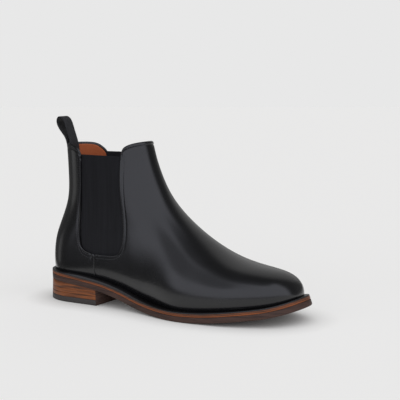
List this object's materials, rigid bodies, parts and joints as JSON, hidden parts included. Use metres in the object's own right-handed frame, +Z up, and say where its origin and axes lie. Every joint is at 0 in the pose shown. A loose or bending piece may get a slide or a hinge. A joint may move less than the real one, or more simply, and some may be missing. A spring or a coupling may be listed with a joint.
{
  "type": "chelsea boot",
  "caption": "Right ankle boot with smooth leather upper, elastic side panels, back pull loop, welted sole and stacked heel.",
  "frame": {"origin": "on the ground under the middle of the sole's length and breadth", "axes": "+X towards the toe, +Y towards the inner side of the foot, +Z up"},
  "size_m": [0.3064, 0.1092, 0.2006],
  "materials": {
    "leather": "smooth polished calf, black",
    "elastic": "ribbed woven elastic, matt",
    "stiffener": "stiffened fibre board",
    "canvas": "plain woven canvas",
    "lining": "vegetable tanned lining leather, cognac",
    "insole_board": "insole leather, natural",
    "steel": "plain steel",
    "cork": "granulated cork",
    "welt_leather": "waxed welt leather, brown",
    "sole_leather": "stained sole edge, dark brown",
    "heel_leather": "stacked heel leather, brown",
    "sole_rubber": "rubber top piece",
    "webbing": "woven tape, black"
  },
  "bodies": {
    "boot": {"vamp": "leather", "quarter_lateral": "leather", "quarter_medial": "leather", "back_strip": "leather", "gore_lateral": "elastic", "gore_medial": "elastic", "toe_puff": "stiffener", "heel_counter": "stiffener", "vamp_interlining": "canvas", "quarter_interlining": "canvas", "vamp_lining": "lining", "quarter_lining": "lining", "insole": "insole_board", "sock_lining": "lining", "heel_pad": "lining", "shank": "steel", "cork_filler": "cork", "welt": "welt_leather", "outsole": "sole_leather", "heel_lift_1": "heel_leather", "heel_lift_2": "heel_leather", "heel_lift_3": "heel_leather", "top_piece": "sole_rubber", "heel_nails": "steel", "tab_end_outer": "webbing", "tab_end_inner": "webbing"},
    "tab": {"pull_tab": "webbing"}
  },
  "joints": [
    {"name": "tab_fold", "type": "hinge", "parent": "boot", "child": "tab", "pos_m": [-0.1301, 0, 0.1746], "axis": [0, 1, 0], "range_deg": [-40, 60]}
  ]
}
